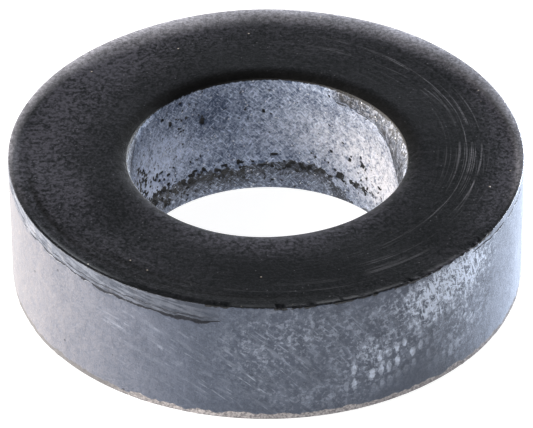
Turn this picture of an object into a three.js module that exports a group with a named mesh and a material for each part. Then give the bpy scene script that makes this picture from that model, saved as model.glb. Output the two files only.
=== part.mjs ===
// A plain flat washer cut from thick black rubber tube.
// It is one closed ring: a round bore, two flat faces and four softened edges.
// Units are millimetres. +Z runs up the bore axis, and the origin is the centre of the bottom face.

import * as THREE from 'three';

// Driving dimensions.
const OUTER_DIAMETER = 23.8;
const BORE_DIAMETER = 12.7;
const THICKNESS = 6.35;
const TOP_OUTER_ROUND = 0.4;
const TOP_BORE_ROUND = 0.5;
const BOTTOM_OUTER_ROUND = 0.25;
const BOTTOM_BORE_ROUND = 0.25;

// How finely the round surfaces are divided.
const SECTORS = 120;
const STEPS_PER_ROUND = 3;

const QUARTER_TURN = Math.PI / 2;

const RUBBER = {
  color: 0x26282c,
  roughness: 0.62,
  metalness: 0,
};

// One softened edge of the section: a quarter circle between a wall and a face.
function edgeRound(centreRadius, centreHeight, round, startAngle) {
  const endAngle = startAngle + QUARTER_TURN;
  const quarter = new THREE.EllipseCurve(centreRadius, centreHeight, round, round, startAngle, endAngle);
  return quarter.getPoints(STEPS_PER_ROUND);
}

// The ring's cross-section as (radius, height) points, closed, from the bottom of the outer wall
// up to the top face, across to the bore and down again.
function ringSection() {
  const outerRadius = OUTER_DIAMETER / 2;
  const boreRadius = BORE_DIAMETER / 2;
  const section = [
    ...edgeRound(outerRadius - BOTTOM_OUTER_ROUND, BOTTOM_OUTER_ROUND, BOTTOM_OUTER_ROUND, -QUARTER_TURN),
    ...edgeRound(outerRadius - TOP_OUTER_ROUND, THICKNESS - TOP_OUTER_ROUND, TOP_OUTER_ROUND, 0),
    ...edgeRound(boreRadius + TOP_BORE_ROUND, THICKNESS - TOP_BORE_ROUND, TOP_BORE_ROUND, QUARTER_TURN),
    ...edgeRound(boreRadius + BOTTOM_BORE_ROUND, BOTTOM_BORE_ROUND, BOTTOM_BORE_ROUND, 2 * QUARTER_TURN),
  ];
  section.push(section[0].clone());
  return section;
}

// The whole washer, turned from its section about the bore axis.
function makeWasherRing() {
  const geometry = new THREE.LatheGeometry(ringSection(), SECTORS);
  geometry.rotateX(QUARTER_TURN);
  const ring = new THREE.Mesh(geometry, new THREE.MeshStandardMaterial(RUBBER));
  ring.name = 'washer_ring';
  return ring;
}

const washer = new THREE.Group();
washer.add(makeWasherRing());

export default washer;
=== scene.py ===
"""A plain flat washer cut from black rubber tube, with its worn and dusty surfaces.

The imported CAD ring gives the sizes. The ring is built again as one fine closed mesh, with the
knife fold under its upper rim, the pits of its bore and its ragged lower edge as real shape, and
it is dressed in one procedural rubber with three finishes: knife-cut faces, a cloth-wrapped outer
wall and a bore moulded on a steel bar. Sizes are in millimetres and angles in degrees unless a
name says otherwise. Round the wall, 0 degrees is the front (-Y) and +90 is the right (+X). Inside
the bore, 0 degrees is the back and +90 is again the right.
"""

from __future__ import annotations

import logging
import math
from dataclasses import dataclass, field
from enum import Enum

import bpy
import numpy as np
from mathutils import Matrix, Vector


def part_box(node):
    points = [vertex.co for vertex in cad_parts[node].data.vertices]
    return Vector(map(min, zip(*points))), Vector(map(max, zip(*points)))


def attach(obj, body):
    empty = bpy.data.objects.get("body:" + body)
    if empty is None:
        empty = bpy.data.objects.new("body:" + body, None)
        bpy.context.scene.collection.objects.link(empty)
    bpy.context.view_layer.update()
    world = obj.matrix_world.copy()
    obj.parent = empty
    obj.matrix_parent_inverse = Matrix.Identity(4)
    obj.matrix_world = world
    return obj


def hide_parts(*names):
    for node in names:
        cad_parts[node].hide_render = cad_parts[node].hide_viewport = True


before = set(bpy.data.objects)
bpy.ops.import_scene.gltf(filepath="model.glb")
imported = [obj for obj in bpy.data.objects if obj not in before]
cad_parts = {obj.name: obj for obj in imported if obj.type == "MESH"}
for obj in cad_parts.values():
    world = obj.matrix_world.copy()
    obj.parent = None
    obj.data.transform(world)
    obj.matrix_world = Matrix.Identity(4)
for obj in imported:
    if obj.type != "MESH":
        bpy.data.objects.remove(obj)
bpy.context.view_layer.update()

LOG = logging.getLogger("washer")
NODE = "washer_ring"
BODY = "root"
MM = 0.001


def linked(name: str, data: bpy.types.Mesh | bpy.types.Light | bpy.types.Camera) -> bpy.types.Object:
    """Makes an object of its data and puts it in the scene."""
    made = bpy.data.objects.new(name, data)
    bpy.context.scene.collection.objects.link(made)
    return made


# ---------------------------------------------------------------- shaping helpers


def ease(value: np.ndarray) -> np.ndarray:
    """Smooth step from 0 to 1 as value goes from 0 to 1."""
    held = np.clip(value, 0.0, 1.0)
    return held * held * (3.0 - 2.0 * held)


def around(turn: np.ndarray) -> np.ndarray:
    """The angle round the axis from 0 to 360, so that the back is 180."""
    return (turn + 360.0) % 360.0


def from_back(turn: np.ndarray) -> np.ndarray:
    """The angle away from the back, from -180 to 180, minus on the right."""
    return around(turn) - 180.0


def window(angle: np.ndarray, start: float, end: float, soft: float) -> np.ndarray:
    """One between two angles and zero outside them, with soft ends.

    Args:
        angle: Angles in degrees.
        start: Where the window opens.
        end: Where it closes.
        soft: How many degrees each end takes.

    Returns:
        The weight at each angle.
    """
    return ease((angle - start) / soft) * ease((end - angle) / soft)


def ripple(places: np.ndarray, wavelength: float, seed: int, waves: int = 22) -> np.ndarray:
    """Smooth seeded unevenness, the same on every run, with a spread of about one.

    Args:
        places: Points in millimetres, with x, y and z last.
        wavelength: The typical distance between crests, in millimetres.
        seed: Picks the pattern.
        waves: How many plane waves are summed.

    Returns:
        One value for each point.
    """
    draw = np.random.default_rng(seed)
    heading = draw.normal(size=(waves, 3))
    heading /= np.linalg.norm(heading, axis=1, keepdims=True)
    pitch = 2.0 * math.pi / (wavelength * draw.uniform(0.7, 1.5, waves))
    phase = draw.uniform(0.0, 2.0 * math.pi, waves)
    total = np.zeros(places.shape[:-1])
    for toward, rate, start in zip(heading, pitch, phase):
        total += np.sin(places @ (toward * rate) + start)
    return total * math.sqrt(2.0 / waves)


@dataclass(frozen=True)
class Patch:
    """A soft oval patch on the unrolled wall, bore or face."""

    angle: float
    level: float
    half_angle: float
    half_level: float
    strength: float

    def weight(self, angle: np.ndarray, level: np.ndarray) -> np.ndarray:
        """How strongly the patch shows at each angle and level."""
        across = (angle - self.angle) / self.half_angle
        along = (level - self.level) / self.half_level
        return self.strength * np.exp(-(across**2 + along**2))


def laid(patches: tuple[Patch, ...], angle: np.ndarray, level: np.ndarray) -> np.ndarray:
    """The sum of several patches at each angle and level."""
    total = np.zeros(np.broadcast(angle, level).shape)
    for patch in patches:
        total = total + patch.weight(angle, level)
    return total


# ---------------------------------------------------------------- the ring's section


class Zone(Enum):
    """The stretches of the section, in the order that they are walked."""

    FACE = "upper face"
    RIM = "upper outer edge"
    WALL = "outer wall"
    FOOT = "lower outer edge"
    BASE = "lower face"
    HEEL = "lower bore edge"
    BORE = "bore"
    MOUTH = "upper bore edge"


@dataclass(frozen=True)
class RingSizes:
    """The main sizes of the CAD ring."""

    outer: float
    bore: float
    thick: float

    @classmethod
    def measured(cls, node: bpy.types.Object) -> RingSizes:
        """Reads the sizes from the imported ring, which stands on z = 0 about the Z axis."""
        corners = np.array([vertex.co for vertex in node.data.vertices]) / MM
        reach = np.hypot(corners[:, 0], corners[:, 1])
        return cls(float(reach.max()), float(reach.min()), float(corners[:, 2].max()))


@dataclass
class Grid:
    """One stretch of the mesh: its points by row and sector, and what is painted on them."""

    zone: Zone
    radius: np.ndarray
    height: np.ndarray
    out: np.ndarray
    up: np.ndarray
    turn: np.ndarray
    paint: dict[str, np.ndarray] = field(default_factory=dict)

    def places(self) -> np.ndarray:
        """The points as x, y and z in millimetres."""
        angle = np.radians(self.turn)
        return np.stack(
            (self.radius * np.sin(angle), -self.radius * np.cos(angle), self.height), axis=-1
        )

    def push(self, distance: np.ndarray) -> None:
        """Moves every point along its own direction by a distance, outwards for plus."""
        self.radius = self.radius + self.out * distance
        self.height = self.height + self.up * distance


@dataclass(frozen=True)
class RolledEdge:
    """How a cut face meets a wall: a gentle roll, then a small round.

    Each size is a number or an array over the sectors.
    """

    roll: np.ndarray | float
    drop: np.ndarray | float
    bend: np.ndarray | float

    def lean(self) -> np.ndarray | float:
        """The roll's slope, in radians, where the round takes over."""
        return np.arctan(2.0 * self.drop / self.roll)

    def width(self) -> np.ndarray | float:
        """How far the whole edge reaches in from the wall."""
        return self.roll + self.bend * (1.0 - np.sin(self.lean()))

    def depth(self) -> np.ndarray | float:
        """How far below the face the wall starts."""
        return self.drop + self.bend * np.cos(self.lean())

    def rows(self, rolls: int, bends: int) -> tuple[np.ndarray, np.ndarray, np.ndarray]:
        """The edge from its face side to its wall side.

        Args:
            rolls: How many rows the roll takes.
            bends: How many rows the round takes.

        Returns:
            The distance in from the wall, the depth below the face and the slope in radians.
        """
        lean = self.lean()
        start = self.bend * (1.0 - np.sin(lean))
        runs, sinks, slopes = [], [], []
        for step in range(1, rolls + 1):
            share = step / rolls
            runs.append(start + self.roll * (1.0 - share))
            sinks.append(self.drop * share**2)
            slopes.append(lean * share)
        for step in range(1, bends + 1):
            slope = lean + (math.pi / 2.0 - lean) * step / (bends + 1)
            runs.append(self.bend * (1.0 - np.sin(slope)))
            sinks.append(self.drop + self.bend * (np.cos(lean) - np.cos(slope)))
            slopes.append(slope)
        return tuple(np.vstack(np.broadcast_arrays(*part)) for part in (runs, sinks, slopes))


@dataclass(frozen=True)
class RingSection:
    """The washer's true section: flat cut faces, a slightly tapered wall and softened edges."""

    sizes: RingSizes
    taper: float = 0.09
    rim_bend: float = 0.04
    mouth_bend: float = 0.06
    mouth_pull: float = 0.09
    mouth_flare: float = 0.18
    foot_round: float = 0.06
    heel_round: float = 0.12
    bore_skin: float = 0.03
    fold_zone: float = 1.15
    torn_zone: float = 0.50
    back_fullness: float = 0.075
    right_fullness: float = 0.055
    left_fullness: float = 0.09
    coarse: int = 512
    fine: int = 1024
    face_rows: int = 22
    base_rows: int = 5
    bore_rows: int = 52

    def rim_edge(self, turn: np.ndarray) -> RolledEdge:
        """The upper outer edge: crisp in front, softer at the back and most worn at the back right."""
        soft = ease((105.0 - np.abs(from_back(turn))) / 45.0)
        worn = window(around(turn), 118.0, 186.0, 22.0)
        roll = 0.16 + 0.60 * soft + 0.10 * worn
        drop = 0.001 + 0.040 * soft + 0.016 * worn
        return RolledEdge(roll, drop, self.rim_bend + 0.02 * soft + 0.03 * worn)

    def swell(self, grid: Grid) -> np.ndarray:
        """How far the cut tube was from truly round, most at the wall and nothing near the bore."""
        angle = around(grid.turn)
        full = self.back_fullness * window(angle, 95.0, 265.0, 60.0)
        full = full + self.right_fullness * window(angle, 100.0, 215.0, 45.0)
        full = full + self.left_fullness * window(angle, 204.0, 292.0, 40.0)
        reach = ease((grid.radius - self.sizes.bore - 1.0) / 3.0)
        return (full + 0.008 * ripple(grid.places(), 9.0, 51)) * reach

    def mouth_edge(self, turn: np.ndarray) -> RolledEdge:
        """The upper edge of the bore: rolled under at the back and the sides, slightly in front."""
        far = ease((150.0 - np.abs(from_back(turn))) / 70.0)
        return RolledEdge(0.55 + 0.23 * far, 0.055 + 0.075 * far, self.mouth_bend)

    def bore_radius(self, turn: np.ndarray, drop: np.ndarray | float) -> np.ndarray:
        """The bore's radius: near its upper edge it is dragged to the back and flared at the sides."""
        shallow = np.asarray(drop)
        side = np.sin(np.radians(turn))
        pull = -self.mouth_pull * np.cos(np.radians(turn)) * ease(1.0 - shallow / 1.6)
        flare = (self.mouth_flare + 0.04 * side) * side**4 * ease(1.0 - shallow / 0.8)
        return self.sizes.bore - self.bore_skin + pull + flare

    def sectors(self, count: int) -> np.ndarray:
        """The angles of one ring of points, as a row."""
        return (np.arange(count) * 360.0 / count - 180.0)[None, :]

    def lay(self, zone: Zone, turn: np.ndarray, parts: tuple) -> Grid:
        """Makes a grid from its radius, height and outward direction, spread over the sectors."""
        radius, height, out, up, spread = (part * 1.0 for part in np.broadcast_arrays(*parts, turn))
        return Grid(zone, radius, height, out, up, spread)

    def face(self) -> Grid:
        """The upper face, between the rolls of its two edges."""
        turn = self.sectors(self.coarse)
        along = np.linspace(0.0, 1.0, self.face_rows)[:, None]
        start = self.bore_radius(turn, 0.0) + self.mouth_edge(turn).width()
        end = self.sizes.outer - self.rim_edge(turn).width()
        return self.lay(Zone.FACE, turn, (start + (end - start) * along, self.sizes.thick, 0.0, 1.0))

    def rim(self) -> Grid:
        """The upper outer edge."""
        turn = self.sectors(self.fine)
        run, sink, slope = self.rim_edge(turn).rows(4, 3)
        parts = (self.sizes.outer - run, self.sizes.thick - sink, np.sin(slope), np.cos(slope))
        return self.lay(Zone.RIM, turn, parts)

    def wall(self) -> Grid:
        """The outer wall, finest where the knife folded it at the top and tore it at the bottom."""
        turn = self.sectors(self.fine)
        torn_from = self.sizes.thick - self.torn_zone
        fold = np.linspace(0.0, self.fold_zone, 22)
        plain = np.linspace(self.fold_zone, torn_from, 11)[1:]
        ragged = np.linspace(torn_from, self.sizes.thick, 7)[1:]
        drop = np.concatenate((fold, plain, ragged))[:, None]
        start = self.rim_edge(turn).depth()
        end = self.sizes.thick - self.foot_round
        drop = start + drop * (end - start) / self.sizes.thick
        radius = self.sizes.outer - self.taper * drop / self.sizes.thick
        return self.lay(Zone.WALL, turn, (radius, self.sizes.thick - drop, 1.0, 0.0))

    def foot(self) -> Grid:
        """The softened lower outer edge."""
        turn = self.sectors(self.fine)
        lean = np.radians(np.linspace(0.0, -90.0, 4)[1:-1])[:, None]
        bend = self.foot_round
        radius = self.sizes.outer - self.taper - bend + bend * np.cos(lean)
        height = bend + bend * np.sin(lean)
        return self.lay(Zone.FOOT, turn, (radius, height, np.cos(lean), np.sin(lean)))

    def base(self) -> Grid:
        """The lower face, walked inwards."""
        turn = self.sectors(self.coarse)
        start = self.sizes.outer - self.taper - self.foot_round
        along = np.linspace(0.0, 1.0, self.base_rows)[:, None]
        end = self.bore_radius(turn, self.sizes.thick) + self.heel_round
        return self.lay(Zone.BASE, turn, (start + (end - start) * along, 0.0, 0.0, -1.0))

    def heel(self) -> Grid:
        """The softened lower edge of the bore."""
        turn = self.sectors(self.coarse)
        lean = np.radians(np.linspace(-90.0, 0.0, 4)[1:-1])[:, None]
        bend = self.heel_round
        radius = self.bore_radius(turn, self.sizes.thick) + bend - bend * np.cos(lean)
        height = bend + bend * np.sin(lean)
        return self.lay(Zone.HEEL, turn, (radius, height, -np.cos(lean), np.sin(lean)))

    def bore(self) -> Grid:
        """The bore, walked upwards to its upper edge."""
        turn = self.sectors(self.coarse)
        top = self.sizes.thick - self.mouth_edge(turn).depth()
        along = np.linspace(0.0, 1.0, self.bore_rows)[:, None]
        height = self.heel_round + (top - self.heel_round) * along
        radius = self.bore_radius(turn, self.sizes.thick - height)
        return self.lay(Zone.BORE, turn, (radius, height, -1.0, 0.0))

    def mouth(self) -> Grid:
        """The upper edge of the bore, walked from the bore up to the face."""
        turn = self.sectors(self.coarse)
        run, sink, slope = (rows[::-1] for rows in self.mouth_edge(turn).rows(5, 4))
        radius = self.bore_radius(turn, sink) + run
        parts = (radius, self.sizes.thick - sink, -np.sin(slope), np.cos(slope))
        return self.lay(Zone.MOUTH, turn, parts)

    def grids(self) -> list[Grid]:
        """All the stretches in order; the last one closes on the first."""
        makers = (
            self.face, self.rim, self.wall, self.foot, self.base, self.heel, self.bore, self.mouth
        )
        return [make() for make in makers]


# ---------------------------------------------------------------- wear and shape of each surface


@dataclass(frozen=True)
class KnifeFold:
    """The lip that the knife pushed over the wall at the front left, and the crevice under it."""

    angles: tuple[float, ...] = (-92.0, -80.0, -66.0, -47.0, -30.0, -22.0, -15.0, -9.0)
    drops: tuple[float, ...] = (0.30, 0.52, 0.66, 0.76, 0.86, 0.98, 1.00, 0.80)
    bulge: float = 0.032
    step: float = 0.022
    hollow: float = 0.006

    def line(self, turn: np.ndarray, places: np.ndarray) -> np.ndarray:
        """How far below the face the crevice runs at each angle."""
        wander = 0.030 * ripple(places, 1.6, 11) + 0.014 * ripple(places, 0.5, 12)
        return np.interp(turn, self.angles, self.drops) + wander

    def width(self, turn: np.ndarray, places: np.ndarray) -> np.ndarray:
        """Half the crevice's width: a hairline at the left and widest at its right end."""
        plain = 0.066 + 0.026 * ripple(places, 0.9, 14) + 0.06 * window(turn, -27.0, -8.0, 6.0)
        return np.maximum(plain, 0.0) * window(turn, -91.0, -8.5, 8.0)

    def work(self, grid: Grid, drop: np.ndarray) -> None:
        """Shapes the lip on the wall and paints where the shade of its crevice goes."""
        places = grid.places()
        below = drop - self.line(grid.turn, places)
        show = window(grid.turn, -90.0, -8.5, 9.0)
        lip = ease((0.75 + below) / 0.5) * ease(-below / 0.05)
        lip = lip * (1.0 + 0.3 * ripple(places, 0.7, 13))
        tuck = ease(1.0 - np.abs(below - 0.02) / 0.11)
        under = ease((below + 0.02) / 0.06) * ease(1.0 - below / 1.1)
        grid.push(show * (self.bulge * lip - self.step * tuck - self.hollow * under))
        grid.paint["line_drop"] = below
        grid.paint["line_width"] = self.width(grid.turn, places)
        grid.paint["lip"] = show * ease(-below / 0.06)


@dataclass(frozen=True)
class RimLine:
    """The thin double line just under the rim at the right, where the knife came out."""

    angles: tuple[float, ...] = (48.0, 60.0, 75.0, 100.0)
    drops: tuple[float, ...] = (0.20, 0.36, 0.42, 0.46)
    start: float = 50.0
    end: float = 98.0
    deep: float = 0.025
    half_width: float = 0.030

    def work(self, grid: Grid, drop: np.ndarray) -> None:
        """Cuts the line and paints where its shade goes."""
        places = grid.places()
        line = np.interp(grid.turn, self.angles, self.drops) + 0.018 * ripple(places, 0.7, 21)
        show = window(grid.turn, self.start, self.end, 6.0)
        show = show * ease(1.3 + 0.5 * ripple(places, 1.6, 22))
        grid.push(-self.deep * show * ease(1.3 - np.abs(drop - line) / 0.05))
        right = grid.turn > 5.0
        grid.paint["line_drop"] = np.where(right, drop - line, grid.paint["line_drop"])
        grid.paint["line_width"] = np.where(right, self.half_width * show, grid.paint["line_width"])


@dataclass(frozen=True)
class RimChips:
    """Small notches and flecks along the front of the rim."""

    count: int = 44
    start: float = -14.0
    end: float = 60.0
    below_rim: float = 0.07
    deep: float = 0.012

    def work(self, grid: Grid, drop: np.ndarray) -> None:
        """Knocks the chips out of the wall just below the rim."""
        draw = np.random.default_rng(31)
        rough = np.exp(0.35 * ripple(grid.places(), 0.35, 32))
        for _ in range(self.count):
            angle = draw.uniform(self.start, self.end)
            level = abs(draw.normal(0.0, self.below_rim))
            wide = draw.uniform(0.3, 1.5)
            tall = draw.uniform(0.05, 0.11)
            hole = ease(1.4 - np.hypot((grid.turn - angle) / wide, (drop - level) / tall) * rough)
            grid.push(-self.deep * hole)
            grid.paint["chip"] = np.maximum(grid.paint["chip"], hole)


@dataclass(frozen=True)
class FootBand:
    """The ragged brownish strip along the lower edge, where the knife tore through."""

    tall: float = 0.31
    inset: float = 0.02

    def work(self, grid: Grid, level: np.ndarray) -> None:
        """Sets the strip back a little and paints it."""
        places = grid.places()
        top = self.tall + 0.035 * ripple(places, 0.8, 41) + 0.02 * ripple(places, 0.35, 42)
        inside = ease((top - level) / 0.05)
        grid.push(-self.inset * inside * (1.0 + 0.25 * ripple(places, 0.4, 43)))
        grid.paint["band"] = top - level


@dataclass(frozen=True)
class WallWear:
    """Slow waves of the outer wall and where its dust, weave print and scratches lie, its sides laid
    paler, partly haze and partly painted light, and its back in painted shade.
    """

    waves: float = 0.007
    dust: tuple[Patch, ...] = (
        Patch(44.0, 0.8, 8.0, 0.95, 1.2),
        Patch(53.0, 1.0, 7.0, 1.0, 0.85),
        Patch(38.0, 2.3, 6.0, 0.8, 0.60),
        Patch(24.0, 3.4, 9.0, 1.2, 0.62),
        Patch(33.0, 1.1, 9.0, 0.9, 0.50),
        Patch(8.0, 1.4, 14.0, 1.4, 0.34),
        Patch(-1.0, 3.0, 9.0, 1.6, 0.26),
        Patch(50.0, 3.4, 10.0, 2.0, 0.50),
        Patch(12.0, 5.3, 14.0, 0.8, 0.26),
        Patch(132.0, 2.2, 12.0, 1.6, 0.30),
        Patch(158.0, 4.2, 14.0, 1.4, 0.34),
        Patch(-150.0, 3.0, 18.0, 1.8, 0.26),
    )
    weave: tuple[Patch, ...] = (
        Patch(31.0, 3.8, 5.5, 0.7, 1.3),
        Patch(22.0, 4.4, 6.0, 0.7, 1.2),
        Patch(38.5, 2.2, 4.5, 0.5, 1.1),
        Patch(45.0, 4.7, 5.0, 0.6, 0.45),
        Patch(48.0, 1.2, 8.0, 1.1, 0.5),
        Patch(146.0, 3.2, 9.0, 1.0, 0.5),
        Patch(-142.0, 2.4, 8.0, 0.8, 0.4),
    )
    scratches: tuple[Patch, ...] = (
        Patch(-29.0, 2.6, 12.0, 1.7, 0.34),
        Patch(0.0, 3.6, 16.0, 2.4, 1.0),
        Patch(14.0, 1.8, 12.0, 1.5, 0.7),
    )

    def work(self, grid: Grid, drop: np.ndarray) -> None:
        """Shapes and paints the wall."""
        grid.push(self.waves * ripple(grid.places(), 2.4, 52) * ease(drop / 0.4))
        grid.paint["bloom"] = laid(self.dust, grid.turn, drop)
        grid.paint["weave"] = laid(self.weave, grid.turn, drop)
        grid.paint["scratch"] = laid(self.scratches, grid.turn, drop)
        # Painted shade: the wall is laid darker at the back.
        grid.paint["back_shade"] = ease((np.abs(grid.turn) - 100.0) / 28.0)
        # Haze and painted light: the left side is laid paler and greyer, the right side paler and bluer.
        grid.paint["left_haze_and_light"] = ease((grid.turn + 128.0) / 40.0) * ease((-2.0 - grid.turn) / 75.0)
        grid.paint["right_haze_and_light"] = ease((grid.turn - 30.0) / 52.0) * ease((124.0 - grid.turn) / 30.0)


@dataclass(frozen=True)
class Pit:
    """One blow hole of the bore: its angle, its depth below the face, its width and its height."""

    angle: float
    level: float
    wide: float
    tall: float


@dataclass(frozen=True)
class BoreWear:
    """The bore's ridge, pits and peel, and where its pale bloom lies."""

    ridge_level: float = 4.72
    ridge_height: float = 0.025
    swelling: float = 0.07
    rough_below: float = 0.010
    pit_depth: float = 0.10
    peel_height: float = 0.05
    ridge_pits: int = 110
    left_pits: int = 70
    stray_pits: int = 90
    peel_angles: tuple[float, ...] = (
        -96.0, -80.0, -64.0, 24.0, 31.0, 46.0, 54.0, 64.0, 69.0, 80.0, 96.0
    )
    peel_drops: tuple[float, ...] = (
        1.30, 0.95, 0.30, 0.30, 0.80, 0.86, 1.00, 1.60, 2.40, 3.20, 3.00
    )
    large: tuple[Pit, ...] = (
        Pit(-49.0, 0.90, 0.10, 0.12),
        Pit(-44.5, 1.36, 0.13, 0.15),
        Pit(-28.0, 1.90, 0.13, 0.27),
        Pit(-38.5, 0.55, 0.09, 0.09),
        Pit(-1.0, 1.95, 0.10, 0.10),
        Pit(45.0, 3.75, 0.15, 0.17),
        Pit(44.2, 3.42, 0.09, 0.10),
        Pit(38.0, 3.80, 0.09, 0.10),
        Pit(28.5, 3.75, 0.11, 0.11),
        Pit(-65.5, 3.25, 0.19, 0.13),
        Pit(-65.0, 2.70, 0.09, 0.12),
        Pit(-48.0, 5.70, 0.20, 0.22),
        Pit(-38.0, 4.95, 0.17, 0.22),
        Pit(-11.5, 4.72, 0.26, 0.09),
        Pit(3.0, 4.35, 0.22, 0.09),
        Pit(9.5, 5.00, 0.24, 0.17),
        Pit(15.5, 5.05, 0.15, 0.10),
        Pit(52.0, 5.10, 0.10, 0.10),
        Pit(57.0, 4.35, 0.13, 0.08),
        Pit(34.5, 5.20, 0.16, 0.10),
    )
    bloom: tuple[Patch, ...] = (
        Patch(-60.0, 3.6, 16.0, 2.1, 1.35),
        Patch(-76.0, 4.6, 12.0, 1.6, 0.9),
        Patch(-38.0, 3.2, 14.0, 1.0, 0.55),
        Patch(-24.0, 1.9, 14.0, 1.4, -0.20),
        Patch(-52.0, 1.0, 12.0, 0.8, -0.16),
        Patch(-84.0, 0.6, 14.0, 0.9, -0.25),
        Patch(-4.0, 3.2, 10.0, 0.9, 0.20),
        Patch(48.0, 3.3, 20.0, 2.3, 0.90),
        Patch(66.0, 4.4, 14.0, 2.2, 1.10),
        Patch(18.0, 3.0, 18.0, 1.6, 0.40),
    )
    pocked: tuple[Patch, ...] = (
        Patch(-66.0, 3.7, 13.0, 1.5, 0.78),
        Patch(-74.0, 2.6, 9.0, 1.4, 0.50),
        Patch(-40.0, 5.2, 15.0, 0.8, 0.95),
        Patch(0.0, 5.5, 30.0, 0.6, 0.45),
        Patch(48.0, 4.6, 16.0, 0.8, 0.35),
        Patch(70.0, 5.0, 10.0, 0.9, 0.5),
        Patch(-40.0, 1.0, 8.0, 0.8, 0.4),
    )

    def ridge(self, angle: np.ndarray, places: np.ndarray) -> np.ndarray:
        """The depth below the face at which the ridge runs."""
        wander = 0.10 * ripple(places, 3.2, 61) + 0.045 * ripple(places, 0.8, 62)
        return self.ridge_level + 0.10 * (np.abs(angle) / 45.0) ** 2 + wander

    def pits(self) -> list[Pit]:
        """The large pits and the seeded small ones: along the ridge, at the left, and stray."""
        draw = np.random.default_rng(71)
        found = list(self.large)
        for _ in range(self.ridge_pits):
            angle = draw.uniform(-180.0, 180.0)
            climb = 0.1 * (min(abs(angle), 60.0) / 45.0) ** 2
            level = self.ridge_level + draw.normal(0.10, 0.20) + climb
            size = draw.uniform(0.05, 0.125)
            found.append(Pit(angle, level, size * draw.uniform(1.0, 1.9), size))
        for _ in range(self.left_pits):
            angle = draw.normal(-55.0, 16.0)
            level = draw.uniform(3.6, 6.1)
            size = draw.uniform(0.045, 0.10)
            found.append(Pit(angle, level, size * draw.uniform(0.9, 1.6), size))
        for _ in range(self.stray_pits):
            size = draw.uniform(0.035, 0.075)
            found.append(Pit(draw.uniform(-180.0, 180.0), draw.uniform(0.3, 6.1), size, size))
        return found

    def pitted(self, grid: Grid, angle: np.ndarray, drop: np.ndarray, reach: float) -> np.ndarray:
        """Works out how deep in a blow hole each point lies.

        Args:
            grid: The stretch of the bore.
            angle: Each point's angle from the back.
            drop: Each point's depth below the face.
            reach: The bore's radius.

        Returns:
            One in the middle of a hole and zero outside.
        """
        pit_and_shade = np.zeros(grid.radius.shape)
        rough = np.exp(0.22 * ripple(grid.places(), 0.22, 66))
        arc = math.radians(1.0) * reach
        for hole in self.pits():
            aside = (angle - hole.angle) * arc / hole.wide
            along = (drop - hole.level) / hole.tall
            pit_and_shade = np.maximum(pit_and_shade, ease(1.35 - np.hypot(aside, along) * rough))
        return pit_and_shade

    def peel(self, grid: Grid, angle: np.ndarray, drop: np.ndarray) -> np.ndarray:
        """Paints the line along which the skin peels, where shade under its edge is painted, and works
        out where it hangs loose.

        Args:
            grid: The stretch of the bore.
            angle: Each point's angle from the back.
            drop: Each point's depth below the face.

        Returns:
            One on the loose skin and zero off it.
        """
        places = grid.places()
        edge = np.interp(angle, self.peel_angles, self.peel_drops) + 0.04 * ripple(places, 0.9, 67)
        right = window(angle, 26.0, 100.0, 6.0)
        left = window(angle, -118.0, -62.0, 14.0)
        grid.paint["line_drop"] = drop - edge
        grid.paint["line_width"] = 0.045 * right * ease(0.75 + 0.6 * ripple(places, 1.1, 69))
        return (right + 0.85 * left) * ease((edge - drop) / 0.12)

    def work(self, grid: Grid, angle: np.ndarray, drop: np.ndarray, sizes: RingSizes) -> None:
        """Shapes the bore and paints its pits, its bloom and the band below the ridge."""
        places = grid.places()
        below = drop - self.ridge(angle, places)
        pit_and_shade = self.pitted(grid, angle, drop, sizes.bore)
        peel = self.peel(grid, angle, drop)
        relief = 0.03 * ripple(places, 7.0, 63) + 0.008 * ripple(places, 0.9, 64)
        relief = relief + self.swelling * ease(1.0 + below / 1.6) * ease(1.0 - below / 0.9)
        relief = relief + self.ridge_height * np.exp(-((below / 0.10) ** 2))
        relief = relief - self.rough_below * ease(below / 0.1) * (1.0 + ripple(places, 0.28, 65))
        relief = relief - self.pit_depth * pit_and_shade
        relief = relief + self.peel_height * peel * (1.0 + 0.3 * ripple(places, 0.4, 68))
        grid.radius = grid.radius - relief * ease(drop / 0.3) * ease((sizes.thick - drop) / 0.25)
        near = np.exp(-(((below - 0.12) / 0.26) ** 2)) * (0.75 + 0.35 * ripple(places, 2.2, 70))
        grid.paint["peel"] = peel
        # The pits' mask, also where their painted shade goes.
        grid.paint["pit_and_shade"] = pit_and_shade
        grid.paint["band"] = below - 1.3 * ease((angle - 20.0) / 22.0)
        grid.paint["pocked"] = near + laid(self.pocked, angle, drop)
        grid.paint["bloom"] = laid(self.bloom, angle, drop) * (1.0 - 0.55 * peel)


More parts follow.
